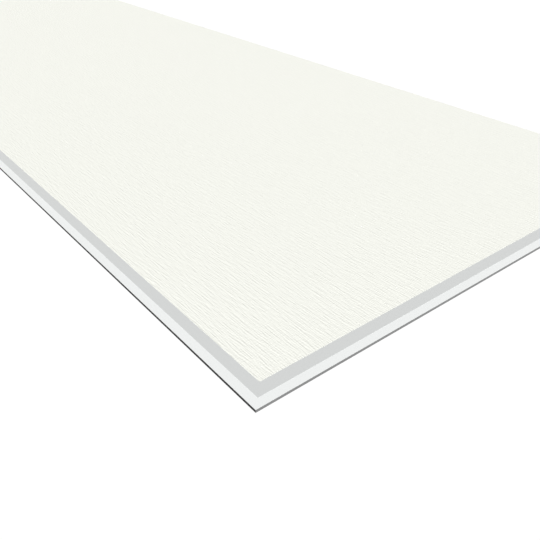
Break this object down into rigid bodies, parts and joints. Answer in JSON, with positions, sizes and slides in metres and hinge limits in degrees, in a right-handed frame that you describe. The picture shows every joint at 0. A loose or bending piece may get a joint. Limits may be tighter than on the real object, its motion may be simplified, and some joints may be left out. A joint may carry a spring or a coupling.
{
  "type": "layered wall panel board",
  "caption": "Thin flat wall panel board: a dark base board with white, grey and wood-grain embossed cream sheets, set back in steps along one long side and one end.",
  "frame": {"origin": "centre of the base board's back face, at the bottom centre of the board's box", "axes": "+X along the length towards the stepped end, +Y across the width towards the flush long side, +Z out of the decor face"},
  "size_m": [3, 1, 0.005],
  "materials": {
    "base_board": "sawn matt edges, sanded back",
    "white_sheet": "smooth, matt",
    "grey_sheet": "smooth, matt",
    "decor_sheet": "satin, embossed with fine wood grain along the length"
  },
  "bodies": {
    "root": {"base_board": "base_board", "white_sheet": "white_sheet", "grey_sheet": "grey_sheet", "decor_sheet": "decor_sheet"}
  },
  "joints": []
}
